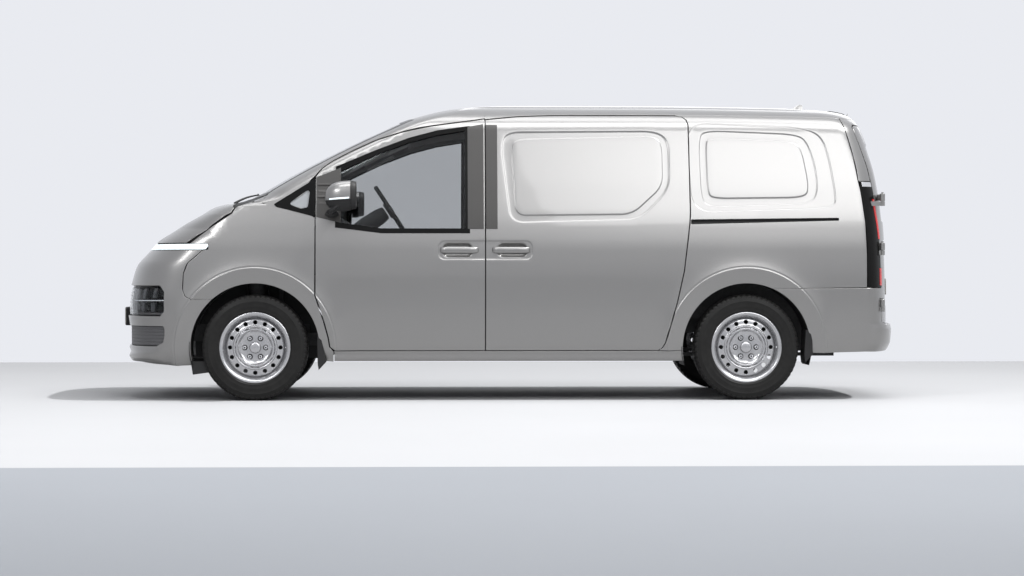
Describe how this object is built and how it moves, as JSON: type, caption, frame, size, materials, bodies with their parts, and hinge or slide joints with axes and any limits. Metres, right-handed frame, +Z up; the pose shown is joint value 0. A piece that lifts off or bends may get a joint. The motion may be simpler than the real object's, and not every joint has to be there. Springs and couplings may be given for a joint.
{
  "type": "panel van",
  "caption": "Low-roof panel van with a one-box steel body, short bonnet, sliding side doors, twin rear doors and plain steel wheels.",
  "frame": {"origin": "centre of the van's plan on the road surface under the tyres", "axes": "-X forward to the nose, -Y to the driver's side on the left, +Z up"},
  "size_m": [5.2464, 2.4566, 2.0005],
  "materials": {
    "paint": "metallic silver-grey, clear-coated",
    "grey_plastic": "grained unpainted grey",
    "black_plastic": "grained black",
    "chassis": "satin black underbody coating",
    "window_glass": "lightly tinted",
    "clear_lens": "clear lens",
    "red_lens": "moulded red lens",
    "inner_panel": "satin grey",
    "cab_plastic": "soft-grained dark grey",
    "cast_metal": "cast",
    "exhaust_steel": "heat-dulled",
    "rubber": "matt",
    "mirror_shell": "painted silver over a black base",
    "wheel_steel": "silver wheel paint",
    "tyre": "matt black rubber"
  },
  "bodies": {
    "van_body": {"floor_pan": "chassis", "sills": "paint", "bay_frame": "chassis", "cab_frame": "paint", "roof_panel": "paint", "fender_left": "paint", "fender_right": "paint", "side_panel_left": "paint", "side_panel_right": "paint", "sliding_door_left": "paint", "sliding_door_right": "paint", "front_bumper": "paint", "rear_bumper": "paint", "cowl": "black_plastic", "windscreen": "window_glass", "quarter_windows": "window_glass", "light_bar": "clear_lens", "headlamps": "clear_lens", "grille": "grey_plastic", "tail_lamps": "red_lens", "bulkhead": "inner_panel", "dashboard": "cab_plastic", "seat_bases": "chassis", "engine": "cast_metal", "front_subframe": "chassis", "rear_axle": "chassis", "leaf_springs": "chassis", "exhaust": "exhaust_steel", "fuel_tank": "black_plastic", "spare_wheel": "rubber", "wheel_liners": "black_plastic", "mud_flaps": "black_plastic", "wipers": "black_plastic", "door_hinges": "chassis"},
    "front_door_left": {"front_door_left": "paint", "front_glass_left": "window_glass", "mirror_left": "mirror_shell"},
    "front_door_right": {"front_door_right": "paint", "front_glass_right": "window_glass", "mirror_right": "mirror_shell"},
    "rear_door_left": {"rear_door_left": "paint"},
    "rear_door_right": {"rear_door_right": "paint"},
    "bonnet": {"bonnet": "paint"},
    "steering_wheel": {"steering_wheel": "cab_plastic"},
    "knuckle_left": {"knuckle_left": "chassis"},
    "knuckle_right": {"knuckle_right": "chassis"},
    "wheel_front_left": {"rim_front_left": "wheel_steel", "tyre_front_left": "tyre"},
    "wheel_front_right": {"rim_front_right": "wheel_steel", "tyre_front_right": "tyre"},
    "wheel_rear_left": {"rim_rear_left": "wheel_steel", "tyre_rear_left": "tyre"},
    "wheel_rear_right": {"rim_rear_right": "wheel_steel", "tyre_rear_right": "tyre"}
  },
  "joints": [
    {"name": "steer_left", "type": "hinge", "parent": "van_body", "child": "knuckle_left", "pos_m": [-1.7085, -0.778, 0.352], "axis": [0, 0.2215, 0.9751], "range_deg": [-35, 35]},
    {"name": "spin_front_left", "type": "hinge", "parent": "knuckle_left", "child": "wheel_front_left", "pos_m": [-1.7085, -0.868, 0.352], "axis": [0, 1, 0], "continuous": true},
    {"name": "spin_rear_left", "type": "hinge", "parent": "van_body", "child": "wheel_rear_left", "pos_m": [1.5645, -0.868, 0.352], "axis": [0, 1, 0], "continuous": true},
    {"name": "open_front_door_left", "type": "hinge", "parent": "van_body", "child": "front_door_left", "pos_m": [-1.2455, -0.9445, 0.9], "axis": [0, 0, -1], "range_deg": [0, 70]},
    {"name": "open_rear_door_left", "type": "hinge", "parent": "van_body", "child": "rear_door_left", "pos_m": [2.4895, -0.885, 1], "axis": [0, 0, -1], "range_deg": [0, 180]},
    {"name": "steer_right", "type": "hinge", "parent": "van_body", "child": "knuckle_right", "pos_m": [-1.7085, 0.778, 0.352], "axis": [0, -0.2215, 0.9751], "range_deg": [-35, 35]},
    {"name": "spin_front_right", "type": "hinge", "parent": "knuckle_right", "child": "wheel_front_right", "pos_m": [-1.7085, 0.868, 0.352], "axis": [0, 1, 0], "continuous": true},
    {"name": "spin_rear_right", "type": "hinge", "parent": "van_body", "child": "wheel_rear_right", "pos_m": [1.5645, 0.868, 0.352], "axis": [0, 1, 0], "continuous": true},
    {"name": "open_front_door_right", "type": "hinge", "parent": "van_body", "child": "front_door_right", "pos_m": [-1.2455, 0.9445, 0.9], "axis": [0, 0, 1], "range_deg": [0, 70]},
    {"name": "open_rear_door_right", "type": "hinge", "parent": "van_body", "child": "rear_door_right", "pos_m": [2.4895, 0.885, 1], "axis": [0, 0, 1], "range_deg": [0, 180]},
    {"name": "open_bonnet", "type": "hinge", "parent": "van_body", "child": "bonnet", "pos_m": [-1.8155, 0, 1.303], "axis": [0, 1, 0], "range_deg": [0, 50]},
    {"name": "turn_steering_wheel", "type": "hinge", "parent": "van_body", "child": "steering_wheel", "pos_m": [-1.1705, -0.39, 1.052], "axis": [0.8387, 0, 0.5446], "range_deg": [-540, 540]}
  ],
  "couplings": [
    {"joint": "steer_right", "follows": "steer_left", "ratio": 1},
    {"joint": "turn_steering_wheel", "follows": "steer_left", "ratio": 15}
  ]
}
